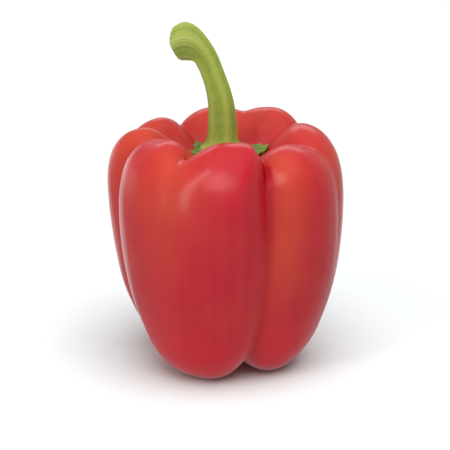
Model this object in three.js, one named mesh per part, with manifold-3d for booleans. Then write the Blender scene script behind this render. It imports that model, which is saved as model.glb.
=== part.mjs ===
// A red bell pepper that stands on its lobes, with the calyx in its crown and the cut stem above it.
// Millimetres, +Z up. The origin lies on the surface it stands on, under the middle of its box.
// A bearing is an angle in degrees round the upright axis: 0 is the front, -Y, and 90 is +X.
import * as THREE from "three";
import { mergeVertices } from "three/addons/utils/BufferGeometryUtils.js";
import Module from "manifold-3d";

const wasm = await Module();
wasm.setup();

// Driving dimensions
const CROWN_AXIS = [0.51, 0.13]; // X and Y of the line through the crown's centre and the blossom end
const GAP = 0.35; // left between pieces that grow on each other
const CALYX_DISC = 11.0; // radius of the calyx without its sepals
const CALYX_EDGE = 0.7; // thickness at the rim
const CALYX_SEAT = 78.25; // height of the level middle that the stem grows from
const SEAT_END = 0.6; // share of the calyx's reach where the level middle ends
const KNOB_LEAN = 2.7; // how far the front of the cut end stands forward of its middle
const RIB_GROOVES = 5; // grooves along the stem
const RIB_DEPTH = 0.07; // depth of a groove as a share of the stem's half width
const RIB_BEARING = -12; // bearing of the first groove

// How finely the surfaces are split
const FRUIT_SIDES = 108;
const FRUIT_ROWS = 34;
const CALYX_SIDES = 72;
const CALYX_ROWS = 6;
const STEM_SIDES = 30;
const STEM_ROWS = 33;

// The fruit's outline as [radius, height], from the crown's centre to the blossom end underneath
const OUTLINE = [
  [0, 75], [7, 75.2], [13, 77.2], [18.5, 83], [25.5, 88], [33, 86], [38.6, 79], [41.4, 68.5], [41.8, 56],
  [40.6, 43], [38.4, 31], [35.4, 20], [31.2, 9.5], [24.5, 1.8], [17, -0.4], [9.5, 2.5], [4, 6], [0, 7],
];
// Places along the outline, counted in its points
const CROWN = 2;
const CREST = 4.2;
const SHOULDER = 6.6;
const WAIST = 10;
const FOOT = 13.2;
const FURROW_PLACES = [0, CROWN, CREST, SHOULDER, WAIST, FOOT, 16.5];
const SWELLING_PLACES = [0, 3, 7, WAIST, FOOT, 15.5];
const SWELLING_START = 0.6; // share of the shoulder's swelling at its second place
const RISE_PLACES = [0, CROWN, CREST, 8];
const RISE_SHARES = [0, 0.3, 1, 0];

// Each swelling round the fruit: how far it moves the skin out at the shoulder, waist and foot, and how far
// it raises the crest
const SWELLINGS = [
  { bearing: -108, spread: 16, out: [2.6, 2.1, -0.6], rise: -3.6 },
  { bearing: -62, spread: 18, out: [-1.8, -2.0, -1.8], rise: -3.1 },
  { bearing: -12, spread: 18, out: [0.0, 0.0, -1.2], rise: -0.5 },
  { bearing: 50, spread: 20, out: [0.0, -0.2, -0.8], rise: -3.6 },
  { bearing: 90, spread: 24, out: [-0.6, 0.1, -0.6], rise: -1.8 },
  { bearing: 150, spread: 20, out: [0.0, 0.0, 0.0], rise: -0.1 },
  { bearing: -160, spread: 20, out: [0.0, 0.0, 0.0], rise: -1.8 },
];

// Each furrow: its bearing at the crest, shoulder and foot, its half widths to the left and right at the
// crest, waist and foot, and its depth at the crown, crest, shoulder, waist and foot. The first four part the
// lobes, and the others are dents in the front, right, back and left lobe.
const FURROWS = [
  { bearing: [27, 24, 21], left: [12.5, 34, 38], right: [25, 38, 40], depth: [3, 6.5, 8, 5, 7] },
  { bearing: [120, 120, 118], left: [24, 38, 40], right: [22, 38, 40], depth: [3, 5.5, 6, 4, 7] },
  { bearing: [-144, -143, -138], left: [24, 34, 38], right: [24, 34, 38], depth: [3, 5.8, 7, 4, 7] },
  { bearing: [-86, -86, -86], left: [16, 30, 34], right: [26, 30, 38], depth: [3, 6, 7, 5, 7] },
  { bearing: [-29, -29, -31], left: [23, 24, 30], right: [31, 24, 30], depth: [3, 6.5, 1, 0.2, 0] },
  { bearing: [72, 72, 72], left: [22, 26, 30], right: [22, 26, 30], depth: [2, 3, 1.2, 0.3, 0] },
  { bearing: [167, 167, 170], left: [28, 28, 30], right: [24, 26, 30], depth: [2, 2.6, 2, 0.6, 0] },
  { bearing: [-114, -114, -114], left: [16, 20, 26], right: [16, 20, 26], depth: [2, 2.5, 1, 0.3, 0] },
];
const FURROW_BOTTOM = 0.06; // the round in a furrow's bottom, as a share of its half width
const CALM_RADIUS = 12; // furrows fade out inside this radius

// Each sepal: its bearing, its reach beyond the disc, its half width in degrees and how far its tip lifts
const SEPALS = [
  { bearing: 92, reach: 3.9, half: 34, lift: -0.3 },
  { bearing: 60, reach: 3.2, half: 26, lift: 0.3 },
  { bearing: 24, reach: 3.0, half: 24, lift: 0.6 },
  { bearing: -22, reach: 3.2, half: 26, lift: 0.6 },
  { bearing: -56, reach: 2.4, half: 22, lift: 0.6 },
  { bearing: -73, reach: 2.8, half: 34, lift: 0.0 },
  { bearing: -121, reach: 1.8, half: 24, lift: 1.4 },
  { bearing: -158, reach: 1.8, half: 22, lift: 0.8 },
  { bearing: 163, reach: 1.6, half: 24, lift: 0.8 },
  { bearing: 112, reach: 2.8, half: 34, lift: 0.1 },
];
const SEPAL_POINT = 1.1; // over 1, a sepal's sides are hollow and its tip is sharp
const SEPAL_CURL = 4; // power by which the lift comes in towards the tip
const HOLLOW_END = 4; // place on the outline that the calyx never reaches

// The stem's sections from its foot to its cut end: [x, z] of its outer and inner edge, and half its
// depth in Y
const STEM = [
  { outer: [5.9, 78.6], inner: [-9.5, 78.6], half: 7.8 },
  { outer: [4.5, 81.1], inner: [-7.6, 80.5], half: 6.2 },
  { outer: [4.1, 83.9], inner: [-6.6, 83.6], half: 5.5 },
  { outer: [3.8, 88.2], inner: [-6.4, 88.2], half: 5.2 },
  { outer: [3.0, 93.9], inner: [-6.4, 93.9], half: 5.0 },
  { outer: [1.5, 99.8], inner: [-7.2, 99.5], half: 4.6 },
  { outer: [-0.6, 105.6], inner: [-8.9, 104.9], half: 4.3 },
  { outer: [-3.0, 111.7], inner: [-10.7, 108.6], half: 4.3 },
  { outer: [-6.2, 117.0], inner: [-11.4, 109.1], half: 4.8 },
  { outer: [-10.2, 121.2], inner: [-11.8, 109.2], half: 5.6 },
  { outer: [-14.3, 122.6], inner: [-12.3, 109.4], half: 6.3 },
  { outer: [-17.7, 121.1], inner: [-13.0, 109.9], half: 6.5 },
];
const KNOB_START = 0.62; // where the stem begins to thicken, as a share of its sections
const KNOB_CURVE = 1.5; // power by which the lean comes in towards the cut end
const RIB_START = 0.25; // where the grooves have come up from the foot to their full depth
// The cut end's rounded edge and slightly hollow face: [size of the section, distance past the last section]
const CUT_END = [[0.96, 0.5], [0.86, 0.75], [0.6, 0.7], [0, 0.3]];

const radians = THREE.MathUtils.degToRad;
const clamp = THREE.MathUtils.clamp;

function splineOf(points) {
  return new THREE.SplineCurve(points.map(([x, y]) => new THREE.Vector2(x, y)));
}

const outline = splineOf(OUTLINE);
const OUTLINE_SPANS = OUTLINE.length - 1;
const outerEdge = splineOf(STEM.map((section) => section.outer));
const innerEdge = splineOf(STEM.map((section) => section.inner));
const halfDepth = splineOf(STEM.map((section, index) => [index, section.half]));

// The angle from one bearing to another, between -180 and 180.
function turn(degrees) {
  return (((degrees % 360) + 540) % 360) - 180;
}

// A smooth curve through the values at the given places, level before the first and after the last.
function blend(places, values, at) {
  let index = 0;
  while (index < places.length - 2 && at > places[index + 1]) index++;
  const share = THREE.MathUtils.smoothstep(at, places[index], places[index + 1]);
  return THREE.MathUtils.lerp(values[index], values[index + 1], share);
}

// The shape across a furrow: 1 in its rounded bottom, falling to 0 at its edges, where x is -1 or 1.
function valley(x) {
  const distance = Math.hypot(x, FURROW_BOTTOM);
  return (Math.max(1 - distance, 0) / (1 - FURROW_BOTTOM)) ** 2;
}

function furrowDepth(bearing, place) {
  let depth = 0;
  for (const furrow of FURROWS) {
    const offset = turn(bearing - blend([CREST, SHOULDER, FOOT], furrow.bearing, place));
    const half = blend([CREST, WAIST, FOOT], offset < 0 ? furrow.left : furrow.right, place);
    depth += blend(FURROW_PLACES, [0, ...furrow.depth, 0], place) * valley(offset / half);
  }
  return depth;
}

// A point of the fruit's skin: its bearing, and its share of the way along the outline.
function fruitPoint(bearing, share) {
  const place = share * OUTLINE_SPANS;
  const point = outline.getPoint(share);
  const along = outline.getTangent(share);
  let radius = point.x;
  let height = point.y;
  for (const { bearing: middle, spread, out, rise } of SWELLINGS) {
    const near = Math.exp(-0.5 * (turn(bearing - middle) / spread) ** 2);
    const [top, waist, foot] = out;
    const swelling = [0, SWELLING_START * top, top, waist, foot, 0];
    radius += near * blend(SWELLING_PLACES, swelling, place);
    height += near * rise * blend(RISE_PLACES, RISE_SHARES, place);
  }
  const depth = furrowDepth(bearing, place) * THREE.MathUtils.smoothstep(point.x, 0, CALM_RADIUS);
  radius = Math.max(radius + along.y * depth, 0);
  height -= along.x * depth;
  const angle = radians(bearing);
  return [radius * Math.sin(angle), -radius * Math.cos(angle), height];
}

// How far out the calyx reaches at a bearing, and how far its tip lifts there.
function sepalAt(bearing) {
  let reach = 0;
  let lift = 0;
  for (const sepal of SEPALS) {
    const share = Math.max(1 - Math.abs(turn(bearing - sepal.bearing)) / sepal.half, 0) ** SEPAL_POINT;
    if (sepal.reach * share <= reach) continue;
    reach = sepal.reach * share;
    lift = sepal.lift * share;
  }
  return { reach: CALYX_DISC + reach, lift };
}

// The height of the fruit's plain outline at a radius in the hollow of the crown.
function hollowHeight(radius) {
  let low = 0;
  let high = HOLLOW_END / OUTLINE_SPANS;
  for (let step = 0; step < 30; step++) {
    const middle = (low + high) / 2;
    if (outline.getPoint(middle).x < radius) low = middle;
    else high = middle;
  }
  return outline.getPoint(low).y;
}

// A point of the calyx: share runs from 0 on the axis to 1 at the rim, on its underside or its top.
function calyxPoint(bearing, { share, top }) {
  const { reach, lift } = sepalAt(bearing);
  const radius = reach * share;
  const angle = radians(bearing);
  let height = hollowHeight(radius) + GAP + lift * share ** SEPAL_CURL;
  if (top) {
    const rim = hollowHeight(reach) + GAP + lift + CALYX_EDGE;
    height = THREE.MathUtils.lerp(CALYX_SEAT, rim, THREE.MathUtils.smoothstep(share, SEAT_END, 1));
  }
  return [radius * Math.sin(angle), -radius * Math.cos(angle), height];
}

// A point of the stem: share runs from 0 at the foot to 1 at the last section, and past says how far beyond.
function stemPoint(bearing, { share, size, past }) {
  const outer = outerEdge.getPoint(share);
  const inner = innerEdge.getPoint(share);
  const middle = outer.clone().add(inner).divideScalar(2);
  const across = outer.clone().sub(inner).divideScalar(2);
  const onward = new THREE.Vector2(-across.y, across.x).normalize();
  const angle = radians(bearing);
  const groove = 0.5 + 0.5 * Math.cos(radians(RIB_GROOVES * (bearing - RIB_BEARING)));
  const width = size * (1 - RIB_DEPTH * groove * clamp(share / RIB_START, 0, 1));
  const frontness = width * Math.cos(angle);
  const lean = KNOB_LEAN * clamp((share - KNOB_START) / (1 - KNOB_START), 0, 1) ** KNOB_CURVE;
  middle.addScaledVector(across, width * Math.sin(angle)).addScaledVector(onward, lean * frontness + past);
  return [middle.x, -halfDepth.getPoint(share).y * frontness, middle.y];
}

// Revolves a profile of the rows' widths, then puts each vertex where the place function says.
function revolve(rows, sides, place) {
  const profile = rows.map((row, index) => new THREE.Vector2(index % (rows.length - 1) ? 1 : 0, index));
  const geometry = new THREE.LatheGeometry(profile, sides);
  const position = geometry.getAttribute("position");
  for (let side = 0; side <= sides; side++)
    rows.forEach((row, index) => {
      position.setXYZ(side * rows.length + index, ...place((360 * side) / sides, row));
    });
  geometry.deleteAttribute("normal");
  geometry.deleteAttribute("uv");
  return mergeVertices(geometry, 1e-4);
}

function solidOf(geometry) {
  const vertProperties = new Float32Array(geometry.getAttribute("position").array);
  const triVerts = new Uint32Array(geometry.index.array);
  return new wasm.Manifold(new wasm.Mesh({ numProp: 3, vertProperties, triVerts }));
}

function geometryOf(solid) {
  const { vertProperties, triVerts } = solid.getMesh();
  const geometry = new THREE.BufferGeometry();
  geometry.setAttribute("position", new THREE.BufferAttribute(vertProperties, 3));
  geometry.setIndex(new THREE.BufferAttribute(triVerts, 1));
  geometry.computeVertexNormals();
  return geometry;
}

// Shares of a run, in equal steps with both ends.
function shares(steps) {
  return Array.from({ length: steps + 1 }, (_, step) => step / steps);
}

// The fruit, with the lobes' feet pressed to small flat spots at height 0.
function fruitGeometry() {
  const skin = revolve(shares(FRUIT_ROWS).reverse(), FRUIT_SIDES, fruitPoint);
  const depth = 10;
  const below = new THREE.BoxGeometry(100, 100, depth).translate(0, 0, -depth / 2);
  below.deleteAttribute("normal");
  below.deleteAttribute("uv");
  return geometryOf(solidOf(skin).subtract(solidOf(mergeVertices(below))));
}

function calyxGeometry() {
  const run = shares(CALYX_ROWS);
  const underside = run.map((share) => ({ share, top: false }));
  const top = run.map((share) => ({ share, top: true })).reverse();
  const geometry = revolve([...underside, ...top], CALYX_SIDES, calyxPoint);
  geometry.computeVertexNormals();
  return geometry;
}

function stemGeometry() {
  const foot = { share: 0, size: 0, past: 0 };
  const shaft = shares(STEM_ROWS).map((share) => ({ share, size: 1, past: 0 }));
  const cut = CUT_END.map(([size, past]) => ({ share: 1, size, past }));
  const geometry = revolve([foot, ...shaft, ...cut], STEM_SIDES, stemPoint);
  geometry.computeVertexNormals();
  return geometry;
}

const skinRed = new THREE.MeshStandardMaterial({ color: 0xc42b2e, roughness: 0.28, metalness: 0 });
const calyxGreen = new THREE.MeshStandardMaterial({ color: 0x5f8f42, roughness: 0.6, metalness: 0 });
const stemGreen = new THREE.MeshStandardMaterial({ color: 0x9aa544, roughness: 0.5, metalness: 0 });

function namedMesh(name, geometry, material) {
  const mesh = new THREE.Mesh(geometry, material);
  mesh.name = name;
  return mesh;
}

const onAxis = new THREE.Group();
onAxis.position.set(...CROWN_AXIS, 0);
onAxis.add(
  namedMesh("fruit", fruitGeometry(), skinRed),
  namedMesh("calyx", calyxGeometry(), calyxGreen),
  namedMesh("stem", stemGeometry(), stemGreen),
);

const pepper = new THREE.Group();
pepper.name = "bell_pepper";
pepper.add(onAxis);

export default pepper;
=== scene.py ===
"""A red bell pepper that stands on its lobes on a plain pale floor: its fruit, calyx and stem.

Shapes are worked out in millimetres, and each finished mesh is in metres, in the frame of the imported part.
A bearing is an angle in degrees round the line through the crown and the blossom end: 0 is the front, -Y,
and 90 is +X. A place counts the points of the fruit's outline, from 0 at the crown's centre to 17 at the
blossom end.
"""

import math

import bmesh
import bpy
import numpy as np
from bpy.props import FloatProperty, FloatVectorProperty, IntProperty, PointerProperty
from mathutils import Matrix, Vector, noise


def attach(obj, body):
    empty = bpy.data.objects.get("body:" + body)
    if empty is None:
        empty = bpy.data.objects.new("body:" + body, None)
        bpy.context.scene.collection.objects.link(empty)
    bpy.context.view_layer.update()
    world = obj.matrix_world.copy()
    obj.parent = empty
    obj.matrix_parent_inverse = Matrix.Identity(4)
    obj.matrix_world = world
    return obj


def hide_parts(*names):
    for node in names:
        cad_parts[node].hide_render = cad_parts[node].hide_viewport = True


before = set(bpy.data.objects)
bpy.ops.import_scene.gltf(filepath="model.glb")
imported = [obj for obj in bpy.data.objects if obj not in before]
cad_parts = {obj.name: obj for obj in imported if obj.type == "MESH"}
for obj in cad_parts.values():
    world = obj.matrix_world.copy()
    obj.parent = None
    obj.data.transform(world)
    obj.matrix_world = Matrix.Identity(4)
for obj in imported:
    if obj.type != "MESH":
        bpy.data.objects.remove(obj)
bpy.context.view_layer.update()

bl_info = {
    "name": "Bell Pepper",
    "version": (1, 0, 0),
    "blender": (4, 5, 0),
    "location": "View3D > Sidebar > Bell Pepper",
    "description": "Builds a red bell pepper with its calyx and stem, and a plain studio round it",
    "category": "Object",
}

MM = 0.001
ROOT = "root"
CROWN_AXIS = (0.51, 0.13)  # X and Y of the line through the crown's centre and the blossom end

# The fruit's outline as (radius, height), from the crown's centre to the blossom end underneath
OUTLINE = (
    (0, 75), (7, 75.2), (13, 77.2), (18.5, 83), (25.5, 88), (33, 86), (38.6, 79), (41.4, 68.5), (41.8, 56),
    (40.6, 43), (38.4, 31), (35.4, 20), (31.2, 9.5), (24.5, 1.8), (17, -0.4), (9.5, 2.5), (4, 6), (0, 7),
)
LAST_PLACE = len(OUTLINE) - 1

# Places on the outline where the swellings and furrows are measured
CROWN = 2
CREST = 4.2
SHOULDER = 6.6
WAIST = 10
FOOT = 13.2
FURROW_PLACES = (0, CROWN, CREST, SHOULDER, WAIST, FOOT, 16.5)
SWELLING_PLACES = (0, 3, 7, WAIST, FOOT, 15.5)
SWELLING_START = 0.6  # share of the shoulder's swelling at its second place
RISE_PLACES = (0, CROWN, CREST, 8)
RISE_SHARES = (0, 0.3, 1, 0)

# Each swelling: its bearing and spread, how far it moves the skin out at the shoulder, waist and foot, and
# how far it raises the crest
SWELLINGS = (
    {"bearing": -108, "spread": 16, "out": (2.6, 2.1, -0.6), "rise": -3.6},
    {"bearing": -62, "spread": 18, "out": (-1.8, -2.0, -1.8), "rise": -3.1},
    {"bearing": -12, "spread": 18, "out": (0.0, 0.0, -1.2), "rise": -0.5},
    {"bearing": 50, "spread": 20, "out": (0.0, -0.2, -0.8), "rise": -3.6},
    {"bearing": 90, "spread": 24, "out": (-0.6, 0.1, -0.6), "rise": -1.8},
    {"bearing": 150, "spread": 20, "out": (0.0, 0.0, 0.0), "rise": -0.1},
    {"bearing": -160, "spread": 20, "out": (0.0, 0.0, 0.0), "rise": -1.8},
)

# Each furrow: its bearing at the crest, shoulder and foot, its half widths to the left and right at the
# crest, waist and foot, and its depth at the crown, crest, shoulder, waist and foot. The first four part the
# lobes, and the others are dents in the front, right, back and left lobe.
FURROWS = (
    {"bearing": (27, 24, 21), "left": (12.5, 34, 38), "right": (25, 38, 40), "depth": (3, 6.5, 8, 5, 7)},
    {"bearing": (120, 120, 118), "left": (24, 38, 40), "right": (22, 38, 40), "depth": (3, 5.5, 6, 4, 7)},
    {"bearing": (-144, -143, -138), "left": (24, 34, 38), "right": (24, 34, 38), "depth": (3, 5.8, 7, 4, 7)},
    {"bearing": (-86, -86, -86), "left": (16, 30, 34), "right": (26, 30, 38), "depth": (3, 6, 7, 5, 7)},
    {"bearing": (-29, -29, -31), "left": (23, 24, 30), "right": (31, 24, 30), "depth": (3, 6.5, 1, 0.2, 0)},
    {"bearing": (72, 72, 72), "left": (22, 26, 30), "right": (22, 26, 30), "depth": (2, 3, 1.2, 0.3, 0)},
    {"bearing": (167, 167, 170), "left": (28, 28, 30), "right": (24, 26, 30), "depth": (2, 2.6, 2, 0.6, 0)},
    {"bearing": (-114, -114, -114), "left": (16, 20, 26), "right": (16, 20, 26),
     "depth": (2, 2.5, 1, 0.3, 0)},
)
FURROW_BOTTOM = 0.06  # the round in a furrow's bottom, as a share of its half width
CREASE_DEPTH = 7  # a furrow this deep counts as a full crease
CREASE_SPREAD = 2.8  # how far a crease reaches to either side of a furrow's bottom, in degrees
CALM_RADIUS = 12  # furrows fade out inside this radius
FOOT_ROUND = 0.12  # how softly the skin turns into its flat spots

# Small relief on the skin
NOISE_STEPS = (17.3, 5.1, 9.7)  # how far apart the noise of two seeds is read
WAVE_LENGTH = 17  # across the low waves in the skin
WAVE_STRETCH = 2.4  # how much longer the waves are than wide
WAVE_FADE = (1, 9)  # heights between which the waves fade in
PUCKER_PLACES = (1.4, 2.6, 4.0, 5.2)  # where fine wrinkles across a furrow start, are deepest and end
PUCKER_STEP = 0.17  # from one wrinkle to the next, in places
PUCKER_TURN = 30  # degrees round the fruit over which the wrinkles shift by one
PUCKER_WANDER = (9, 0.5)  # length and strength of the noise that bends the wrinkles
PUCKER_UNEVEN = (5, 0.4)  # length and strength of the noise that makes some wrinkles deeper
PUCKER_CREASE = (0.02, 0.5)  # crease values between which the wrinkles fade in
PUCKER_BOTTOM = (0.6, 1)  # crease values between which they weaken again
PUCKER_WEAKEN = 0.6  # how much weaker they get
SCAR_PLACES = 4  # the blossom scar lies within this many places of the blossom end
SCAR_RADIUS = 3.2
SCAR_FLAT = 0.2  # share of its radius that is flat
SCAR_HEIGHT = 0.7
SCAR_CREASES = 9
SCAR_CREASE_DEPTH = 0.25  # as a share of its height

# Colours that follow the skin's shape, painted shade and painted fill light among them
WARM_BASE = 0.04  # warmth of the skin outside the warm areas
CREASE_SHADE_SHARE = 0.65  # share of the crease values that the painted crease shade uses
FILL_LIGHT_PLACES = (9.5, 13.5)  # places between which the lobes' feet turn brighter red: a painted fill light against the shade near the floor
SKIN_GRAIN = 4  # places that count as one step along the skin's streaks

# Warm, more orange areas of the skin, partly its own tint and partly painted light, such as the painted
# highlight at bearing 34 on the right lobe: bearing, place, spread in degrees and in places, strength
WARM_AND_LIT_AREAS = (
    (-104, 4.8, 18, 2.6, 1.0),
    (-60, 6.4, 11, 2.0, 0.2),
    (-40, 5.4, 10, 1.6, 0.5),
    (-26, 6.1, 9, 1.7, 0.65),
    (34, 6.3, 6.5, 1.9, 0.75),
    (50, 5.2, 16, 1.6, 0.3),
    (29, 9.3, 7, 1.2, 0.4),
    (88, 5.2, 16, 2.4, 0.5),
    (150, 5.0, 24, 2.6, 0.6),
    (-160, 6.0, 20, 3.4, 0.6),
)
PIT_SHADE_SPOT = (26.2, 5.35, 2.8, 0.75)  # painted shade, a darkest red in the pit at the top of the front furrow: bearing, place and spreads

# The calyx
CALYX_DISC = 11.0  # radius of the cap between its sepals
CALYX_EDGE = 0.5  # thickness of its rim
CALYX_THIN = 0.3  # least thickness anywhere
CALYX_SEAT = 78.25  # height of its flat middle, round the stem's foot
SEAT_END = 0.6  # where the flat middle ends, as a share of the way to the rim

# Each sepal: its bearing, how far it reaches past the cap, half the angle it spans and how far its tip lifts
SEPALS = (
    {"bearing": 92, "reach": 3.9, "half": 34, "lift": -0.3},
    {"bearing": 60, "reach": 3.2, "half": 26, "lift": 0.3},
    {"bearing": 24, "reach": 3.0, "half": 24, "lift": 0.6},
    {"bearing": -22, "reach": 3.2, "half": 26, "lift": 0.6},
    {"bearing": -56, "reach": 2.4, "half": 22, "lift": 0.6},
    {"bearing": -73, "reach": 2.8, "half": 34, "lift": 0.0},
    {"bearing": -121, "reach": 1.8, "half": 24, "lift": 1.4},
    {"bearing": -158, "reach": 1.8, "half": 22, "lift": 0.8},
    {"bearing": 163, "reach": 1.6, "half": 24, "lift": 0.8},
    {"bearing": 112, "reach": 2.8, "half": 34, "lift": 0.1},
)
SEPAL_POINT = 1.1  # how pointed the sepals are: 1 is a straight taper
SEPAL_CURL = 4  # how late the sepals start to lift, as a power
HOLLOW_END = 4  # last place of the outline in the hollow of the crown
HOLLOW_STEPS = 400
CALYX_GAP = 0.35  # from the fruit's skin up to the calyx
RAGGED = 0.35  # how far the rim wanders in and out
RAGGED_WAVES = ((6, 1, 4), (15, 0.5, 5))  # scale, strength and seed of the noise along the rim
VEIN_SPREAD = 1.6  # of the vein in a sepal's middle, in degrees
SIDE_VEIN = (0.5, 0.6, 1.3)  # the veins beside it: share of the sepal's half angle, strength and spread
VEIN_RISE = (0.5, 0.8)  # shares of the way to the rim between which the veins rise
VEIN_SHOW = (0.4, 0.8)  # and between which their colour fades in

# The stem's sections from its foot to its cut end: (x, z) of its outer and inner edge, and half its depth
STEM = (
    {"outer": (5.9, 78.6), "inner": (-9.5, 78.6), "half": 7.8},
    {"outer": (4.5, 81.1), "inner": (-7.6, 80.5), "half": 6.2},
    {"outer": (4.1, 83.9), "inner": (-6.6, 83.6), "half": 5.5},
    {"outer": (3.8, 88.2), "inner": (-6.4, 88.2), "half": 5.2},
    {"outer": (3.0, 93.9), "inner": (-6.4, 93.9), "half": 5.0},
    {"outer": (1.5, 99.8), "inner": (-7.2, 99.5), "half": 4.6},
    {"outer": (-0.6, 105.6), "inner": (-8.9, 104.9), "half": 4.3},
    {"outer": (-3.0, 111.7), "inner": (-10.7, 108.6), "half": 4.3},
    {"outer": (-6.2, 117.0), "inner": (-11.4, 109.1), "half": 4.8},
    {"outer": (-10.2, 121.2), "inner": (-11.8, 109.2), "half": 5.6},
    {"outer": (-14.3, 122.6), "inner": (-12.3, 109.4), "half": 6.3},
    {"outer": (-17.7, 121.1), "inner": (-13.0, 109.9), "half": 6.5},
)
KNOB_LEAN = 2.7  # how much further the knob's front reaches than its middle
KNOB_START = 0.62  # where the knob starts, as a share of the stem's length
KNOB_FULL = 0.95  # where its colour is full
KNOB_CURVE = 1.5  # how slowly its lean starts, as a power
RIB_GROOVES = 5
RIB_DEPTH = 0.07  # of the grooves, as a share of the stem's half width
RIB_BEARING = -12  # of one of the grooves
RIB_START = 0.25  # share of the stem's length over which the grooves deepen
FINE_RIBS = ((17, 1, 0), (29, 0.7, 40))  # number round the stem, strength and turn in degrees
FINE_DEPTH = 0.008  # of the fine ribs, as a share of the stem's half width
FOOT_SINK = 0.7  # how far the stem's foot goes down into the calyx
SINK_END = 0.04  # share of the stem's length in which it does so
FRESH_END = 0.06  # share of the stem's length that is fresh green
STEM_GRAIN = 4  # steps along the stem's streaks in its whole length
CUT_ROWS = 3  # rows past the last section in which the cut end's colour comes in

# The cut end: (size of the section, distance past the last section)
CUT_END = ((0.985, 0.25), (0.955, 0.5), (0.90, 0.68), (0.82, 0.66), (0.70, 0.52), (0.56, 0.50), (0.40, 0.30),
           (0.22, 0.05), (0, -0.1))

# How much each colour covers where its mask is full
# In the skin's shares, low is a painted fill light on the lobes' feet and creases is painted shade in the
# furrows
SKIN_SHARES = {"streaks": 0.19, "low": 0.8, "creases": 0.9, "scar": 0.85}
CALYX_SHARES = {"streaks": 0.55, "veins": 0.5, "edge": 0.6}
STEM_SHARES = {"knob": 0.75, "spots": 0.6, "rings": 0.22, "ridges": 0.3, "lines": 0.22, "foot": 0.7}
PITH_SHARE = 0.8  # of the fibres in the cut end

# The finishes
MOTTLE_WARMTH = (-0.12, 0.10)  # how far the mottle cools and warms the skin
WAX = 0.12  # weight of the coat of wax on the skin
PIT_SHADE_FADE = (0.1, 0.8)  # values of the painted pit shade between which its colour and finish come in
DEEP_SHINE = 0.35  # how far its shine takes its own red: a painted red reflection
DEEP_DULL = 0.5  # how dull it is, next to the scar
SCAR_DULL = 0.4  # what the scar adds to the skin's roughness
COMBED = 0.5  # height of the fine lines along the skin and stem, next to that of their grain
CALYX_ROUGHNESS = (0.48, 0.62)
STEM_ROUGHNESS = (0.58, 0.68)
CUT_DULL = 0.35  # what the dry cut end adds to the stem's roughness

# Even values of the shaders
SKIN_SHADER = {
    "IOR": 1.34,
    "Coat Roughness": 0.14,
    "Subsurface Weight": 0.12,
    "Subsurface Radius": (1.0, 0.22, 0.12),
    "Subsurface Scale": 0.003,
}
CALYX_SHADER = {"IOR": 1.28}
STEM_SHADER = {
    "IOR": 1.28,
    "Subsurface Weight": 0.06,
    "Subsurface Radius": (0.7, 1.0, 0.3),
    "Subsurface Scale": 0.0015,
}
FLOOR_SHADER = {"Roughness": 0.9, "Specular IOR Level": 0.1}
FLOOR_SPECK = (0.5, 0.5, 0.5)
SPECK_SHARE = 0.02  # how much the specks darken the floor

# The stage, in metres and degrees. A place is the azimuth, elevation and distance from the aim, and a size is
# the width and height.
AIM = (0.00021, 0.00013, 0.0505)  # the point that the camera and the lights look at
SUN_DISTANCE = 2
PANELS = (
    {"name": "panel_overhead", "power": "top_power", "place": (0, 80, 1.0), "size": (1.3, 1.3)},
    {"name": "panel_left", "power": "left_power", "place": (-45, 27, 0.9), "size": (0.20, 0.95)},
    {"name": "panel_front", "power": "front_power", "place": (-9.5, 32.5, 0.9), "size": (0.45, 0.43)},
    {"name": "panel_back", "power": "back_power", "place": (180, 38, 1.0), "size": (0.85, 0.34)},
    {"name": "panel_side", "power": "side_power", "place": (-135, 2, 0.9), "size": (0.9, 0.3)},
    {"name": "panel_rim", "power": "rim_power", "place": (-169, -14, 1.2), "size": (1.7, 0.6)},
)
LIGHTING_PANEL = "panel_left"  # also lights what it falls on: the others only show in the shine
LIGHTING_TURN = -12  # how far it is turned round its own middle
SENSOR_WIDTH = 36  # in mm
CLIP = (0.01, 50)  # the nearest and furthest that the camera sees


def turn(degrees):
    """The same angle between -180 and 180."""
    return (degrees + 180) % 360 - 180


def smoothstep(value, low, high):
    """A soft step from 0 at low to 1 at high."""
    share = np.clip((value - low) / (high - low), 0, 1)
    return share * share * (3 - 2 * share)


def blend(places, values, at):
    """A smooth curve through the values at the given places, level beyond both ends."""
    places = np.asarray(places, float)
    values = np.asarray(values, float)
    index = np.clip(np.searchsorted(places, at) - 1, 0, len(places) - 2)
    share = smoothstep(at, places[index], places[index + 1])
    return values[index] + (values[index + 1] - values[index]) * share


def curve_through(points, share):
    """Points at shares of the way along a smooth curve that passes through all the given points."""
    points = np.asarray(points, float)
    spans = len(points) - 1
    at = np.clip(share, 0, 1) * spans
    index = np.clip(np.floor(at).astype(int), 0, spans - 1)
    t = (at - index)[..., None]
    start, end = points[index], points[index + 1]
    leave = (end - points[np.maximum(index - 1, 0)]) / 2
    arrive = (points[np.minimum(index + 2, spans)] - start) / 2
    bend = (2 * start - 2 * end + leave + arrive) * t ** 3
    return bend + (3 * end - 3 * start - 2 * leave - arrive) * t ** 2 + leave * t + start


def direction_along(points, share):
    """The unit direction of that curve at shares of the way along it."""
    step = 1e-4
    before = curve_through(points, np.clip(share - step, 0, 1))
    after = curve_through(points, np.clip(share + step, 0, 1))
    way = after - before
    return way / np.linalg.norm(way, axis=-1, keepdims=True)


def wave(points, seed):
    """Soft noise between -1 and 1 at each point."""
    shift = Vector([seed * step for step in NOISE_STEPS])
    return np.array([noise.noise(Vector(point) + shift) for point in points])


def around_axis(radius, bearing, height):
    """Points in millimetres from radius, bearing and height round the crown's axis."""
    angle = np.radians(bearing)
    x = CROWN_AXIS[0] + radius * np.sin(angle)
    y = CROWN_AXIS[1] - radius * np.cos(angle)
    return np.stack((x, y, height + 0 * radius), axis=-1)


def valley(x):
    """The shape across a furrow: 1 in its rounded bottom, falling to 0 at its edges, where x is -1 or 1."""
    distance = np.hypot(x, FURROW_BOTTOM)
    return (np.maximum(1 - distance, 0) / (1 - FURROW_BOTTOM)) ** 2


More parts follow.
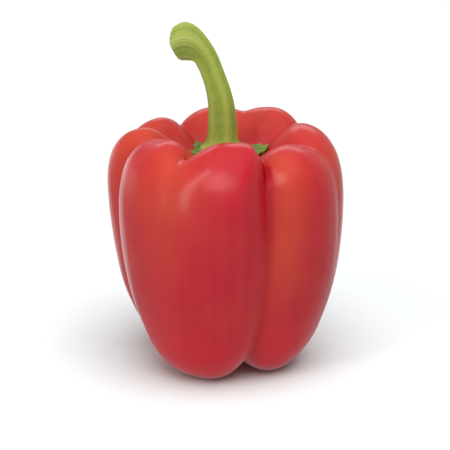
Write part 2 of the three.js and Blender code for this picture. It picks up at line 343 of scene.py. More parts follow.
def furrow_parts(bearing, place):
    """The depth of all furrows together, and how close to a furrow's bottom each point lies, from 0 to 1."""
    depth = np.zeros(np.shape(bearing + place))
    crease = np.zeros_like(depth)
    for furrow in FURROWS:
        offset = turn(bearing - blend((CREST, SHOULDER, FOOT), furrow["bearing"], place))
        left = blend((CREST, WAIST, FOOT), furrow["left"], place)
        right = blend((CREST, WAIST, FOOT), furrow["right"], place)
        half = np.where(offset < 0, left, right)
        here = blend(FURROW_PLACES, (0, *furrow["depth"], 0), place)
        depth += here * valley(offset / half)
        near = np.exp(-0.5 * (offset / CREASE_SPREAD) ** 2)
        crease = np.maximum(crease, np.clip(here / CREASE_DEPTH, 0, 1) * near)
    return depth, crease


def fruit_surface(bearing, place):
    """Radius and height of the fruit's skin in millimetres, its crease value and the outline's direction."""
    share = place / LAST_PLACE
    point = curve_through(OUTLINE, share)
    along = direction_along(OUTLINE, share)
    radius = point[..., 0].copy()
    height = point[..., 1].copy()
    for swelling in SWELLINGS:
        near = np.exp(-0.5 * (turn(bearing - swelling["bearing"]) / swelling["spread"]) ** 2)
        top, waist, foot = swelling["out"]
        radius += near * blend(SWELLING_PLACES, (0, SWELLING_START * top, top, waist, foot, 0), place)
        height += near * swelling["rise"] * blend(RISE_PLACES, RISE_SHARES, place)
    depth, crease = furrow_parts(bearing, place)
    depth *= smoothstep(point[..., 0], 0, CALM_RADIUS)
    radius = np.maximum(radius + along[..., 1] * depth, 0)
    height -= along[..., 0] * depth
    return radius, height, crease, along


def low_waves(points, height):
    """The low, long waves in the skin, which fade out near the floor."""
    stretched = points / WAVE_LENGTH
    stretched[:, 2] /= WAVE_STRETCH
    return wave(stretched, 1) * smoothstep(height, *WAVE_FADE)


def puckers(points, bearing, place, crease):
    """The fine wrinkles that run across the furrows at the crest."""
    inside = smoothstep(place, *PUCKER_PLACES[:2]) * (1 - smoothstep(place, *PUCKER_PLACES[2:]))
    length, strength = PUCKER_WANDER
    bend = turn(bearing) / PUCKER_TURN + strength * wave(points / length, 2)
    ripple = np.cos(2 * math.pi * (place / PUCKER_STEP + bend))
    near = smoothstep(crease, *PUCKER_CREASE) * (1 - PUCKER_WEAKEN * smoothstep(crease, *PUCKER_BOTTOM))
    length, strength = PUCKER_UNEVEN
    return ripple * inside * near * (1 - strength + strength * wave(points / length, 3))


def blossom_scar(radius, bearing, place):
    """Where the blossom scar lies, from 0 to 1, and how far its creases lower the skin there."""
    below = place > LAST_PLACE - SCAR_PLACES
    scar = np.where(below, 1 - smoothstep(radius, SCAR_FLAT * SCAR_RADIUS, SCAR_RADIUS), 0)
    creases = 1 - SCAR_CREASE_DEPTH + SCAR_CREASE_DEPTH * np.cos(np.radians(SCAR_CREASES * bearing))
    return scar, SCAR_HEIGHT * scar * creases


def fruit_points(bearing, place, settings):
    """Points of the finished skin with its small relief, and the crease and scar value at each."""
    radius, height, crease, along = fruit_surface(bearing, place)
    points = around_axis(radius, bearing, height)
    relief = settings.wave_height / MM * low_waves(points, height)
    relief += settings.pucker_depth / MM * puckers(points, bearing, place, crease)
    out = np.stack((-along[..., 1], along[..., 0]), axis=-1)
    radius = np.maximum(radius + out[..., 0] * relief, 0)
    height = height + out[..., 1] * relief
    scar, drop = blossom_scar(radius, bearing, place)
    height = height - drop
    height = 0.5 * (height + np.hypot(height, FOOT_ROUND))
    return around_axis(radius, bearing, height), crease, scar


def soft_spot(bearing, place, middle, at, spread, length):
    """How near each point of the skin lies to a spot's middle, from 0 to 1."""
    return np.exp(-0.5 * ((turn(bearing - middle) / spread) ** 2 + ((place - at) / length) ** 2))


def streak_grain(bearing, along):
    """The value that streaks follow: a point on a circle for the bearing, and the way along."""
    angle = np.radians(bearing)
    return np.stack((np.sin(angle), -np.cos(angle), along), axis=-1)


def hollow_height(radius):
    """The height of the fruit's plain outline at a radius in the hollow of the crown."""
    outline = curve_through(OUTLINE, np.linspace(0, HOLLOW_END / LAST_PLACE, HOLLOW_STEPS))
    return np.interp(radius, outline[:, 0], outline[:, 1])


def sepal_values(bearing):
    """How far the calyx reaches at a bearing, how far its tip lifts there, and how near a vein is."""
    reach = np.zeros(len(bearing))
    lift = np.zeros(len(bearing))
    vein = np.zeros(len(bearing))
    away, strength, spread = SIDE_VEIN
    for sepal in SEPALS:
        offset = turn(bearing - sepal["bearing"])
        share = np.maximum(1 - np.abs(offset) / sepal["half"], 0) ** SEPAL_POINT
        further = sepal["reach"] * share > reach
        reach = np.where(further, sepal["reach"] * share, reach)
        lift = np.where(further, sepal["lift"] * share, lift)
        vein = np.maximum(vein, np.exp(-0.5 * (offset / VEIN_SPREAD) ** 2))
        for side in (-away, away):
            beside = offset - side * sepal["half"]
            vein = np.maximum(vein, strength * np.exp(-0.5 * (beside / spread) ** 2))
    angle = np.radians(bearing)
    ragged = np.zeros(len(bearing))
    for scale, strength, seed in RAGGED_WAVES:
        ring = np.stack((scale * np.sin(angle), scale * np.cos(angle), 0 * angle), axis=-1)
        ragged += strength * wave(ring, seed)
    return CALYX_DISC + reach + RAGGED * ragged, lift, vein


def stem_points(bearing, share, size, past):
    """Points of the stem's surface in millimetres, and how deep in a groove each lies."""
    outer = curve_through([section["outer"] for section in STEM], share)
    inner = curve_through([section["inner"] for section in STEM], share)
    half = curve_through([(index, section["half"]) for index, section in enumerate(STEM)], share)[..., 1]
    middle = (outer + inner) / 2
    across = (outer - inner) / 2
    onward = np.stack((-across[..., 1], across[..., 0]), axis=-1)
    onward /= np.linalg.norm(onward, axis=-1, keepdims=True)
    angle = np.radians(bearing)
    groove = 0.5 + 0.5 * np.cos(RIB_GROOVES * np.radians(bearing - RIB_BEARING))
    ribbed = np.clip(share / RIB_START, 0, 1)
    fine = np.zeros(len(bearing))
    for count, strength, turned in FINE_RIBS:
        fine += strength * np.cos(np.radians(count * bearing + turned))
    width = size * (1 - RIB_DEPTH * groove * ribbed + FINE_DEPTH * fine * ribbed)
    frontness = width * np.cos(angle)
    lean = KNOB_LEAN * np.clip((share - KNOB_START) / (1 - KNOB_START), 0, 1) ** KNOB_CURVE
    middle = middle + across * (width * np.sin(angle))[:, None]
    middle += onward * (lean * frontness + past)[:, None]
    height = middle[:, 1] - FOOT_SINK * (1 - smoothstep(share, 0, SINK_END))
    points = np.stack((CROWN_AXIS[0] + middle[:, 0], CROWN_AXIS[1] - half * frontness, height), axis=-1)
    return points, groove * ribbed


def drum(rows, sides):
    """A closed upright drum, and the bearing and row of each vertex: the first and last row are its poles."""
    shape = bmesh.new()
    depth = rows - 3
    bmesh.ops.create_cone(shape, cap_ends=True, cap_tris=True, segments=sides, radius1=1, radius2=1,
                          depth=depth)
    upright = [edge for edge in shape.edges if abs(edge.verts[0].co.z - edge.verts[1].co.z) > 0.5]
    bmesh.ops.subdivide_edges(shape, edges=upright, cuts=depth - 1)
    at = np.array([vertex.co for vertex in shape.verts])
    bearing = np.degrees(np.arctan2(at[:, 0], -at[:, 1]))
    row = np.rint(at[:, 2] + depth / 2).astype(int) + 1
    pole = np.hypot(at[:, 0], at[:, 1]) < 0.5
    row = np.where(pole, np.where(at[:, 2] < 0, 0, rows - 1), row)
    return shape, bearing, row


def finish_piece(shape, points, name, material, node, values):
    """Puts each vertex at its point and makes the mesh a piece that stands for a node of the part."""
    for vertex, point in zip(shape.verts, points * MM):
        vertex.co = point
    shape.normal_update()
    bmesh.ops.recalc_face_normals(shape, faces=shape.faces)
    for face in shape.faces:
        face.smooth = True
    mesh = bpy.data.meshes.new(name)
    shape.to_mesh(mesh)
    shape.free()
    for title, numbers in values.items():
        kind = "FLOAT_VECTOR" if np.ndim(numbers) == 2 else "FLOAT"
        field = "vector" if kind == "FLOAT_VECTOR" else "value"
        layer = mesh.attributes.new(title, kind, "POINT")
        layer.data.foreach_set(field, np.ravel(numbers).astype(np.float32))
    mesh.materials.append(material)
    piece = bpy.data.objects.new(name, mesh)
    bpy.context.scene.collection.objects.link(piece)
    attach(piece, ROOT)
    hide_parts(node)


class Shading:
    """Adds nodes to a node tree and links their inputs."""

    def __init__(self, tree):
        self.tree = tree

    def add(self, kind, inputs=(), **settings):
        """A new node with its settings, and its inputs linked or set."""
        node = self.tree.nodes.new(kind)
        for name, value in settings.items():
            setattr(node, name, value)
        for name, value in dict(inputs).items():
            self.put(node.inputs[name], value)
        return node

    def put(self, socket, value):
        """Links another node's output to the socket, or sets it to a plain value."""
        if isinstance(value, bpy.types.NodeSocket):
            self.tree.links.new(value, socket)
        else:
            socket.default_value = value

    def calc(self, kind, first, second, clamp=False):
        """The result of a sum, which kind names."""
        node = self.add("ShaderNodeMath", {0: first, 1: second}, operation=kind, use_clamp=clamp)
        return node.outputs[0]

    def range(self, value, low, high, start=0.0, end=1.0):
        """Goes softly from start to end while the value goes from low to high."""
        places = {"Value": value, "From Min": low, "From Max": high, "To Min": start, "To Max": end}
        return self.add("ShaderNodeMapRange", places, interpolation_type="SMOOTHSTEP").outputs[0]

    def mix(self, share, first, second):
        """A share of the second colour over the first."""
        return self.add("ShaderNodeMix", {0: share, 6: first, 7: second}, data_type="RGBA").outputs[2]

    def paint(self, base, mask, fade, share, tint):
        """Covers the base with a share of the tint, while the mask goes through the two values of fade."""
        return self.mix(self.range(mask, *fade, 0.0, share), base, colour(tint))

    def mix_values(self, share, first, second):
        """A share of the second value over the first."""
        return self.add("ShaderNodeMix", {0: share, 2: first, 3: second}, data_type="FLOAT").outputs[0]

    def noise(self, vector, scale, detail=2.0, roughness=0.5):
        places = {"Vector": vector, "Scale": scale, "Detail": detail, "Roughness": roughness}
        return self.add("ShaderNodeTexNoise", places).outputs["Fac"]

    def attribute(self, name):
        return self.add("ShaderNodeAttribute", attribute_name=name)


def colour(value):
    """A colour with full cover, for a shader's socket."""
    return (*value, 1.0)


def new_group(name, inputs, output):
    """An empty node group with float or vector inputs and one float output, and its end nodes."""
    tree = bpy.data.node_groups.new(name, "ShaderNodeTree")
    for title, kind, default in inputs:
        socket = tree.interface.new_socket(title, in_out="INPUT", socket_type=kind)
        if default is not None:
            socket.default_value = default
    tree.interface.new_socket(output, in_out="OUTPUT", socket_type="NodeSocketFloat")
    shading = Shading(tree)
    start = shading.add("NodeGroupInput").outputs
    end = shading.add("NodeGroupOutput").inputs
    return shading, start, end


def streaks_group():
    """Streaks that run along the growth of the surface: a mask from 0 to 1."""
    name = "Grown streaks"
    if name in bpy.data.node_groups:
        return bpy.data.node_groups[name]
    inputs = (
        ("Grain", "NodeSocketVector", None),
        ("Across", "NodeSocketFloat", 12.0),
        ("Along", "NodeSocketFloat", 1.0),
        ("Sharpness", "NodeSocketFloat", 0.5),
    )
    shading, start, end = new_group(name, inputs, "Mask")
    scale = shading.add("ShaderNodeCombineXYZ", {0: start["Across"], 1: start["Across"], 2: start["Along"]})
    factors = {0: start["Grain"], 1: scale.outputs[0]}
    place = shading.add("ShaderNodeVectorMath", factors, operation="MULTIPLY")
    lines = shading.noise(place.outputs[0], 1.0, 3.0, 0.6)
    spread = shading.range(start["Sharpness"], 0.0, 1.0, 0.4, 0.05)
    low = shading.calc("SUBTRACT", 0.5, spread)
    high = shading.calc("ADD", 0.5, spread)
    shading.put(end["Mask"], shading.range(lines, low, high))
    return shading.tree


def mottle_group():
    """Cloudy patches of two sizes: a mask from 0 to 1."""
    name = "Mottle"
    if name in bpy.data.node_groups:
        return bpy.data.node_groups[name]
    inputs = (
        ("Vector", "NodeSocketVector", None),
        ("Scale", "NodeSocketFloat", 60.0),
        ("Fine share", "NodeSocketFloat", 0.3),
    )
    shading, start, end = new_group(name, inputs, "Mask")
    broad = shading.noise(start["Vector"], start["Scale"], 2.0, 0.45)
    fine_scale = shading.calc("MULTIPLY", start["Scale"], 7.0)
    fine = shading.noise(start["Vector"], fine_scale, 2.0, 0.5)
    both = shading.mix_values(start["Fine share"], broad, fine)
    shading.put(end["Mask"], shading.range(both, 0.32, 0.68))
    return shading.tree


def skin_grain_group():
    """The fine uneven grain of a plant's skin: a height from 0 to 1."""
    name = "Skin grain"
    if name in bpy.data.node_groups:
        return bpy.data.node_groups[name]
    inputs = (
        ("Vector", "NodeSocketVector", None),
        ("Cell scale", "NodeSocketFloat", 1500.0),
        ("Wave scale", "NodeSocketFloat", 220.0),
        ("Cell share", "NodeSocketFloat", 0.4),
    )
    shading, start, end = new_group(name, inputs, "Height")
    cells = shading.noise(start["Vector"], start["Cell scale"], 1.0, 0.5)
    waves = shading.noise(start["Vector"], start["Wave scale"], 2.0, 0.5)
    shading.put(end["Height"], shading.mix_values(start["Cell share"], waves, cells))
    return shading.tree


def use_group(shading, tree, inputs):
    """Adds a node group with its inputs, and gives its output."""
    node = shading.add("ShaderNodeGroup", node_tree=tree)
    for name, value in inputs.items():
        shading.put(node.inputs[name], value)
    return node.outputs[0]


def new_material(name, even_values):
    """A material with even values on its shader, a helper for its nodes, and the shader."""
    material = bpy.data.materials.new(name)
    material.use_nodes = True
    shading = Shading(material.node_tree)
    surface = next(node for node in material.node_tree.nodes if node.type == "BSDF_PRINCIPLED")
    for socket, value in even_values.items():
        surface.inputs[socket].default_value = value
    return material, shading, surface


def skin_material(settings):
    """Waxy red skin: crimson, more orange in its warm areas, which are partly painted highlight, with painted
    shade in the creases, a painted fill light on the lobes' feet, and faint streaks.

    The painted shade in the pit at the top of the front furrow has no wax on it, is duller, and shines in its
    own red, a painted red reflection.
    """
    material, shading, surface = new_material("pepper_skin", SKIN_SHADER)
    place = shading.add("ShaderNodeTexCoord").outputs["Object"]
    grain = shading.attribute("grain").outputs["Vector"]
    crease = shading.attribute("crease").outputs["Fac"]
    warmth = shading.attribute("warmth").outputs["Fac"]
    deep = shading.attribute("deep").outputs["Fac"]
    low = shading.attribute("low").outputs["Fac"]
    scar = shading.attribute("scar").outputs["Fac"]
    mottle = use_group(shading, mottle_group(), {"Vector": place, "Scale": 55.0, "Fine share": 0.12})
    streaks = use_group(shading, streaks_group(),
                        {"Grain": grain, "Across": 14.0, "Along": 0.5, "Sharpness": 0.25})
    # The warm areas are partly the skin's own orange and partly painted light, such as a painted highlight on
    # the right lobe
    warm = shading.calc("ADD", warmth, shading.range(mottle, 0.0, 1.0, *MOTTLE_WARMTH), clamp=True)
    base = shading.mix(warm, colour(settings.skin_colour), colour(settings.warm_and_lit_colour))
    base = shading.paint(base, streaks, (0, 1), SKIN_SHARES["streaks"], settings.streak_colour)
    # A painted fill light: a brighter red on the lobes' feet, against the shade near the floor
    base = shading.mix(shading.calc("MULTIPLY", low, SKIN_SHARES["low"]), base, colour(settings.fill_light_colour))
    # Painted shade: a deeper red that darkens the creases
    base = shading.paint(base, crease, (0.1, 1), SKIN_SHARES["creases"], settings.crease_shade_colour)
    # Painted shade: the darkest red in the pit at the top of the front furrow
    base = shading.paint(base, deep, PIT_SHADE_FADE, 1, settings.pit_shade_colour)
    base = shading.paint(base, scar, (0.15, 0.8), SKIN_SHARES["scar"], settings.scar_colour)
    shading.put(surface.inputs["Base Color"], base)
    dry = shading.calc("MAXIMUM", scar, shading.calc("MULTIPLY", deep, DEEP_DULL))
    dull = shading.range(dry, 0.1, 0.7, settings.roughness, settings.roughness + SCAR_DULL)
    shading.put(surface.inputs["Roughness"], dull)
    height = use_group(shading, skin_grain_group(),
                       {"Vector": place, "Cell scale": 1500.0, "Wave scale": 180.0, "Cell share": 0.12})
    combed = use_group(shading, streaks_group(),
                       {"Grain": grain, "Across": 30.0, "Along": 1.6, "Sharpness": 0.1})
    height = shading.calc("ADD", height, shading.calc("MULTIPLY", combed, COMBED))
    bump = shading.add("ShaderNodeBump", {"Strength": 0.3, "Distance": 0.00007, "Height": height})
    shading.put(surface.inputs["Normal"], bump.outputs[0])
    # The painted pit shade has no wax, and its metallic red shine is a painted red reflection
    shading.put(surface.inputs["Coat Weight"], shading.range(deep, *PIT_SHADE_FADE, WAX, 0.0))
    shading.put(surface.inputs["Metallic"], shading.range(deep, *PIT_SHADE_FADE, 0.0, DEEP_SHINE))
    return material


def calyx_material(settings):
    """Matt leafy green with pale veins that run out to the sepals' tips."""
    material, shading, surface = new_material("pepper_calyx", CALYX_SHADER)
    place = shading.add("ShaderNodeTexCoord").outputs["Object"]
    grain = shading.attribute("grain").outputs["Vector"]
    edge = shading.attribute("edge").outputs["Fac"]
    vein = shading.attribute("vein").outputs["Fac"]
    mottle = use_group(shading, mottle_group(), {"Vector": place, "Scale": 300.0, "Fine share": 0.4})
    streaks = use_group(shading, streaks_group(),
                        {"Grain": grain, "Across": 9.0, "Along": 1.2, "Sharpness": 0.35})
    base = shading.mix(mottle, colour(settings.leaf_colour), colour(settings.dark_colour))
    base = shading.paint(base, streaks, (0, 1), CALYX_SHARES["streaks"], settings.vein_colour)
    base = shading.paint(base, vein, (0.2, 1), CALYX_SHARES["veins"], settings.vein_colour)
    base = shading.paint(base, edge, (0.75, 1), CALYX_SHARES["edge"], settings.edge_colour)
    shading.put(surface.inputs["Base Color"], base)
    shading.put(surface.inputs["Roughness"], shading.range(mottle, 0.0, 1.0, *CALYX_ROUGHNESS))
    height = use_group(shading, skin_grain_group(),
                       {"Vector": place, "Cell scale": 2600.0, "Wave scale": 700.0, "Cell share": 0.4})
    bump = shading.add("ShaderNodeBump", {"Strength": 0.6, "Distance": 0.00025, "Height": height})
    shading.put(surface.inputs["Normal"], bump.outputs[0])
    return material


def stem_material(settings):
    """Yellow-green stalk with darker green in its grooves, fine streaks and a pale dry cut end."""
    material, shading, surface = new_material("pepper_stem", STEM_SHADER)
    place = shading.add("ShaderNodeTexCoord").outputs["Object"]
    grain = shading.attribute("grain").outputs["Vector"]
    groove = shading.attribute("groove").outputs["Fac"]
    cut = shading.attribute("cut").outputs["Fac"]
    foot = shading.attribute("foot").outputs["Fac"]
    knob = shading.attribute("knob").outputs["Fac"]
    mottle = use_group(shading, mottle_group(), {"Vector": place, "Scale": 190.0, "Fine share": 0.6})
    streaks = use_group(shading, streaks_group(),
                        {"Grain": grain, "Across": 7.0, "Along": 0.5, "Sharpness": 0.45})
    fine = use_group(shading, streaks_group(),
                     {"Grain": grain, "Across": 22.0, "Along": 0.9, "Sharpness": 0.3})
    base = shading.mix(mottle, colour(settings.stalk_colour), colour(settings.olive_colour))
    base = shading.paint(base, knob, (0, 1), STEM_SHARES["knob"], settings.knob_colour)
    grooved = shading.range(groove, 0.35, 1.0)
    dark = shading.calc("MULTIPLY", grooved, shading.range(streaks, 0.0, 1.0, 0.2, 0.6))
    base = shading.mix(dark, base, colour(settings.groove_colour))
    dots = use_group(shading, mottle_group(), {"Vector": place, "Scale": 420.0, "Fine share": 0.35})
    spots = shading.calc("MULTIPLY", shading.range(dots, 0.45, 0.95), shading.range(groove, 0.1, 0.8))
    spots = shading.calc("MULTIPLY", spots, STEM_SHARES["spots"])
    base = shading.mix(spots, base, colour(settings.groove_colour))
    rings = use_group(shading, streaks_group(),
                      {"Grain": grain, "Across": 2.5, "Along": 18.0, "Sharpness": 0.35})
    base = shading.paint(base, rings, (0, 1), STEM_SHARES["rings"], settings.olive_colour)
    ridged = shading.range(groove, 0.0, 0.3, 1.0, 0.0)
    ridges = shading.calc("MULTIPLY", ridged, shading.range(fine, 0.0, 1.0, 0.35, 1.0))
    ridges = shading.calc("MULTIPLY", ridges, STEM_SHARES["ridges"])
    base = shading.mix(ridges, base, colour(settings.pale_colour))
    base = shading.paint(base, fine, (0, 1), STEM_SHARES["lines"], settings.pale_colour)
    base = shading.paint(base, foot, (0, 1), STEM_SHARES["foot"], settings.foot_colour)
    cut_face = shading.paint(colour(settings.cut_colour), dots, (0.2, 0.9), PITH_SHARE, settings.pith_colour)
    base = shading.mix(shading.range(cut, 0.1, 0.9), base, cut_face)
    shading.put(surface.inputs["Base Color"], base)
    dull = shading.range(mottle, 0.0, 1.0, *STEM_ROUGHNESS)
    dry = shading.range(cut, 0.0, 1.0, 0.0, CUT_DULL)
    shading.put(surface.inputs["Roughness"], shading.calc("ADD", dull, dry, clamp=True))
    height = use_group(shading, skin_grain_group(),
                       {"Vector": place, "Cell scale": 2400.0, "Wave scale": 600.0, "Cell share": 0.4})
    height = shading.calc("ADD", height, shading.calc("MULTIPLY", fine, COMBED))
    bump = shading.add("ShaderNodeBump", {"Strength": 0.5, "Distance": 0.00022, "Height": height})
    shading.put(surface.inputs["Normal"], bump.outputs[0])
    return material


def floor_material(settings):
    """Plain pale board with the faintest grain."""
    material, shading, surface = new_material("studio_floor", FLOOR_SHADER)
    place = shading.add("ShaderNodeTexCoord").outputs["Object"]
    specks = shading.range(shading.noise(place, 900.0, 2.0, 0.5), 0.3, 0.7, 0.0, SPECK_SHARE)
    base = shading.mix(specks, colour(settings.floor_colour), colour(FLOOR_SPECK))
    shading.put(surface.inputs["Base Color"], base)
    return material


def colour_property(title, text, value):
    return FloatVectorProperty(name=title, description=text, default=value, size=3, subtype="COLOR",
                               min=0, max=1)


def length_property(title, text, value):
    return FloatProperty(name=title, description=text, default=value, unit="LENGTH", subtype="DISTANCE",
                         min=0)


def count_property(title, text, value, least):
    return IntProperty(name=title, description=text, default=value, subtype="UNSIGNED", min=least)


def strength_property(title, text, value):
    return FloatProperty(name=title, description=text, default=value, subtype="UNSIGNED", min=0)


def power_property(title, text, value):
    return FloatProperty(name=title, description=text, default=value, unit="POWER", min=0)


def angle_property(title, text, degrees):
    return FloatProperty(name=title, description=text, default=math.radians(degrees), subtype="ANGLE")


class PepperFruitSettings(bpy.types.PropertyGroup):
    """How the fruit is split and coloured."""

    sides: count_property("Sides", "Steps round the fruit", 372, 60)
    rows: count_property("Rows", "Steps from the crown to the blossom end", 236, 40)
    wave_height: length_property("Wave height", "Height of the low waves in the skin", 0.00028)
    pucker_depth: length_property("Pucker depth", "Depth of the fine wrinkles at the crest", 0.00015)
    skin_colour: colour_property("Skin", "Crimson of most of the skin", (0.395, 0.0068, 0.019))
    # The warm orange is partly the skin's own tint and partly a painted highlight
    warm_and_lit_colour: colour_property("Warm skin", "Orange red of the paler areas", (0.455, 0.046, 0.020))
    streak_colour: colour_property("Streaks", "Paler streaks along the lobes", (0.52, 0.038, 0.032))
    # The brighter red of the feet is a painted fill light against the shade near the floor
    fill_light_colour: colour_property("Low skin", "Brighter red of the lobes' feet", (0.58, 0.0085, 0.022))
    # The deep red of the furrows is painted shade
    crease_shade_colour: colour_property("Creases", "Deep red in the furrows", (0.34, 0.001, 0.006))
    # The darkest red is painted shade in the pit at the top of the front furrow
    pit_shade_colour: colour_property("Deep spot", "Darkest red, high in the front furrow", (0.36, 0.0003, 0.008))
    scar_colour: colour_property("Blossom scar", "Dry tan of the scar underneath", (0.32, 0.20, 0.09))
    roughness: FloatProperty(name="Roughness", description="How dull the waxy skin is", default=0.30,
                             subtype="FACTOR", min=0, max=1)


class PepperCalyxSettings(bpy.types.PropertyGroup):
    """How the calyx is split and coloured."""

    sides: count_property("Sides", "Steps round the calyx", 360, 60)
    rows: count_property("Rows", "Steps from the middle to the rim", 30, 6)
    vein_height: length_property("Vein height", "Height of the veins", 0.00022)
    leaf_colour: colour_property("Leaf", "Green of the calyx", (0.090, 0.150, 0.016))
    dark_colour: colour_property("Dark leaf", "Deeper green between the veins", (0.022, 0.045, 0.005))
    vein_colour: colour_property("Veins", "Pale green veins", (0.180, 0.235, 0.070))
    edge_colour: colour_property("Edge", "Bright green of the rim", (0.13, 0.21, 0.025))


class PepperStemSettings(bpy.types.PropertyGroup):
    """How the stem is split and coloured."""

    sides: count_property("Sides", "Steps round the stem", 160, 30)
    rows: count_property("Rows", "Steps along the stem", 190, 30)
    stalk_colour: colour_property("Stalk", "Yellow-green of the stalk", (0.285, 0.345, 0.042))
    olive_colour: colour_property("Olive", "Olive patches", (0.25, 0.30, 0.022))
    knob_colour: colour_property("Knob", "Paler green of the thick end", (0.24, 0.265, 0.060))
    groove_colour: colour_property("Grooves", "Darker green in the grooves", (0.13, 0.21, 0.030))
    pale_colour: colour_property("Ridges", "Pale dry streaks", (0.46, 0.48, 0.18))
    foot_colour: colour_property("Foot", "Fresh green where the stem leaves the calyx", (0.21, 0.38, 0.05))
    cut_colour: colour_property("Cut end", "Pale dry cut end", (0.47, 0.43, 0.23))
    pith_colour: colour_property("Cut fibres", "Darker fibres in the cut end", (0.27, 0.25, 0.10))


class PepperStageSettings(bpy.types.PropertyGroup):
    """The floor, the lights and the camera."""

    floor_colour: colour_property("Floor", "Pale floor", (0.692, 0.722, 0.722))
    floor_size: length_property("Floor size", "Side of the square floor", 14.0)
    sky_strength: strength_property("Room light", "Even light of the white room", 0.40)
    key_strength: strength_property("Key", "Even soft light from above", 3.4)
    key_spread: angle_property("Key softness", "Angle that the key light spans", 55)
    key_azimuth: angle_property("Key azimuth", "Angle to the right of the front", 20)
    key_elevation: angle_property("Key elevation", "Angle above the horizon", 72)
    top_power: power_property("Top panel", "Broad panel overhead", 1.6)
    left_power: power_property("Left panel", "Panel left of the camera", 2.8)
    front_power: power_property("Front panel", "Panel over the camera", 2.3)
    back_power: power_property("Back panel", "Panel behind the pepper", 1.7)
    side_power: power_property("Side panel", "Low panel at the left", 0.6)
    rim_power: power_property("Rim panel", "Low broad panel far behind", 2.4)
    camera_elevation: angle_property("Camera elevation", "Angle above the horizon", 18)
    camera_distance: length_property("Camera distance", "From the camera to the pepper's middle", 0.56)
    camera_lens: FloatProperty(name="Lens", description="Focal length of the camera in mm", default=127.2,
                               unit="CAMERA", min=1)


class PEPPER_OT_fruit(bpy.types.Operator):
    """Build the red fruit with its lobes, furrows and sunken crown"""

    bl_idname = "pepper.fruit"
    bl_label = "Build Fruit"

    def execute(self, context):
        settings = context.scene.pepper_fruit
        shape, bearing, row = drum(settings.rows + 1, settings.sides)
        place = LAST_PLACE * row / settings.rows
        points, crease, scar = fruit_points(bearing, place, settings)
        # Warm areas: partly the skin's own orange, partly painted light such as the painted highlight on the
        # right lobe
        warmth = np.full(len(place), WARM_BASE)
        for *area, strength in WARM_AND_LIT_AREAS:
            warmth += strength * soft_spot(bearing, place, *area)
        values = {
            "grain": streak_grain(bearing, place / SKIN_GRAIN),
            # How near each point lies to a furrow's bottom, for the painted crease shade
            "crease": CREASE_SHADE_SHARE * crease,
            # Where the painted shade lies in the pit at the top of the front furrow
            "deep": soft_spot(bearing, place, *PIT_SHADE_SPOT),
            # Where the painted fill light brightens the lobes' feet
            "low": smoothstep(place, *FILL_LIGHT_PLACES),
            "warmth": warmth,
            "scar": scar,
        }
        finish_piece(shape, points, "fruit_skin", skin_material(settings), "fruit", values)
        return {"FINISHED"}


class PEPPER_OT_calyx(bpy.types.Operator):
    """Build the green calyx that lies in the crown"""

    bl_idname = "pepper.calyx"
    bl_label = "Build Calyx"

    def execute(self, context):
        settings = context.scene.pepper_calyx
        steps = settings.rows
        shape, bearing, row = drum(2 * steps + 2, settings.sides)
        top = row > steps
        share = np.where(top, 2 * steps + 1 - row, row) / steps
        reach, lift, vein = sepal_values(bearing)
        radius = reach * share
        under = hollow_height(radius) + CALYX_GAP + lift * share ** SEPAL_CURL
        rim = hollow_height(reach) + CALYX_GAP + lift + CALYX_EDGE
        above = CALYX_SEAT + (rim - CALYX_SEAT) * smoothstep(share, SEAT_END, 1)
        above += settings.vein_height / MM * vein * smoothstep(share, *VEIN_RISE)
        height = np.where(top, np.maximum(above, under + CALYX_THIN), under)
        points = around_axis(radius, bearing, height)
        shown = vein * smoothstep(share, *VEIN_SHOW)
        values = {"grain": streak_grain(bearing, share), "edge": share, "vein": shown}
        finish_piece(shape, points, "calyx_cap", calyx_material(settings), "calyx", values)
        return {"FINISHED"}


class PEPPER_OT_stem(bpy.types.Operator):
    """Build the ribbed green stem with its thick cut end"""

    bl_idname = "pepper.stem"
    bl_label = "Build Stem"

    def execute(self, context):
        settings = context.scene.pepper_stem
        steps = settings.rows
        cuts = len(CUT_END)
        shape, bearing, row = drum(steps + 2 + cuts, settings.sides)
        share = np.clip((row - 1) / steps, 0, 1)
        beyond = np.clip(row - 1 - steps, 0, cuts)
        sizes = np.array([1.0] + [size for size, _ in CUT_END])
        pasts = np.array([0.0] + [past for _, past in CUT_END])
        size = np.where(row == 0, 0, sizes[beyond])
        points, groove = stem_points(bearing, share, size, pasts[beyond])
        values = {
            "grain": streak_grain(bearing, STEM_GRAIN * share),
            "groove": groove,
            "cut": np.clip(beyond / CUT_ROWS, 0, 1),
            "foot": 1 - smoothstep(share, 0, FRESH_END),
            "knob": smoothstep(share, KNOB_START, KNOB_FULL),
        }
        finish_piece(shape, points, "stem_stalk", stem_material(settings), "stem", values)
        return {"FINISHED"}


def from_aim(azimuth, elevation, distance):
    """A point at an azimuth, 0 towards -Y and 90 towards +X, and an elevation, seen from the aim."""
    azimuth = math.radians(azimuth)
    elevation = math.radians(elevation)
    level = math.cos(elevation)
    way = Vector((math.sin(azimuth) * level, -math.cos(azimuth) * level, math.sin(elevation)))
    return Vector(AIM) + distance * way


def place_aimed(thing, at):
    """Puts a light or camera in the scene at a point, looking at the aim."""
    bpy.context.scene.collection.objects.link(thing)
    thing.location = at
    thing.rotation_euler = (Vector(AIM) - at).to_track_quat("-Z", "Y").to_euler()


def add_panel(panel, power):
    """A rectangular panel of light."""
    data = bpy.data.lights.new(panel["name"], "AREA")
    data.shape = "RECTANGLE"
    data.size, data.size_y = panel["size"]
    data.energy = power
    light = bpy.data.objects.new(panel["name"], data)
    place_aimed(light, from_aim(*panel["place"]))
    if panel["name"] == LIGHTING_PANEL:
        light.rotation_euler.rotate_axis("Z", math.radians(LIGHTING_TURN))
    else:
        light.visible_diffuse = False
        light.visible_camera = False


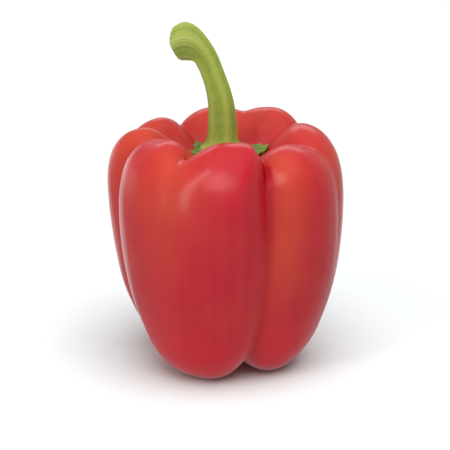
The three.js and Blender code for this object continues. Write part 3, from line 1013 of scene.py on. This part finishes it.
def add_floor(settings):
    """The pale floor, which takes shadows and doesn't show in the skin's shine."""
    plane = bmesh.new()
    bmesh.ops.create_grid(plane, x_segments=4, y_segments=4, size=settings.floor_size / 2)
    mesh = bpy.data.meshes.new("studio_floor")
    plane.to_mesh(mesh)
    plane.free()
    mesh.materials.append(floor_material(settings))
    floor = bpy.data.objects.new("studio_floor", mesh)
    bpy.context.scene.collection.objects.link(floor)
    floor.visible_glossy = False


def add_room(settings):
    """The white room: the camera sees it plain white, and it lights the pepper more faintly."""
    world = bpy.data.worlds.new("white_room")
    world.use_nodes = True
    shading = Shading(world.node_tree)
    seen = shading.add("ShaderNodeLightPath").outputs["Is Camera Ray"]
    sky = world.node_tree.nodes["Background"]
    sky.inputs["Color"].default_value = (1, 1, 1, 1)
    shading.put(sky.inputs["Strength"], shading.range(seen, 0.0, 1.0, settings.sky_strength, 1.0))
    bpy.context.scene.world = world


def add_key(settings):
    """The even soft light from above, which doesn't show in the skin's shine."""
    key = bpy.data.objects.new("key", bpy.data.lights.new("key", "SUN"))
    key.data.energy = settings.key_strength
    key.data.angle = settings.key_spread
    key.visible_glossy = False
    azimuth = math.degrees(settings.key_azimuth)
    elevation = math.degrees(settings.key_elevation)
    place_aimed(key, from_aim(azimuth, elevation, SUN_DISTANCE))


def add_camera(settings):
    """The camera of the photo."""
    data = bpy.data.cameras.new("photo_camera")
    data.lens = settings.camera_lens
    data.sensor_width = SENSOR_WIDTH
    data.clip_start, data.clip_end = CLIP
    camera = bpy.data.objects.new("photo_camera", data)
    place_aimed(camera, from_aim(0, math.degrees(settings.camera_elevation), settings.camera_distance))
    bpy.context.scene.camera = camera


class PEPPER_OT_stage(bpy.types.Operator):
    """Build the pale floor, the soft lights and the camera"""

    bl_idname = "pepper.stage"
    bl_label = "Build Stage"

    def execute(self, context):
        settings = context.scene.pepper_stage
        add_floor(settings)
        add_room(settings)
        add_key(settings)
        for panel in PANELS:
            add_panel(panel, getattr(settings, panel["power"]))
        add_camera(settings)
        context.scene.view_settings.view_transform = "Standard"
        return {"FINISHED"}


class PEPPER_PT_panel(bpy.types.Panel):
    """Lists the pepper's pieces and the stage in the sidebar"""

    bl_idname = "PEPPER_PT_panel"
    bl_label = "Bell Pepper"
    bl_space_type = "VIEW_3D"
    bl_region_type = "UI"
    bl_category = "Bell Pepper"

    def draw(self, context):
        for operator, name, group in STEPS:
            box = self.layout.box()
            box.operator(operator.bl_idname)
            for title in group.__annotations__:
                box.prop(getattr(context.scene, name), title)


# Each step: its operator, and the name and class of its settings
STEPS = (
    (PEPPER_OT_stage, "pepper_stage", PepperStageSettings),
    (PEPPER_OT_fruit, "pepper_fruit", PepperFruitSettings),
    (PEPPER_OT_calyx, "pepper_calyx", PepperCalyxSettings),
    (PEPPER_OT_stem, "pepper_stem", PepperStemSettings),
)


def register():
    for operator, name, group in STEPS:
        bpy.utils.register_class(group)
        setattr(bpy.types.Scene, name, PointerProperty(type=group))
        bpy.utils.register_class(operator)
    bpy.utils.register_class(PEPPER_PT_panel)


def unregister():
    bpy.utils.unregister_class(PEPPER_PT_panel)
    for operator, name, group in reversed(STEPS):
        bpy.utils.unregister_class(operator)
        delattr(bpy.types.Scene, name)
        bpy.utils.unregister_class(group)


def main():
    register()
    bpy.ops.pepper.stage()
    bpy.ops.pepper.fruit()
    bpy.ops.pepper.calyx()
    bpy.ops.pepper.stem()


if __name__ == "__main__":
    main()
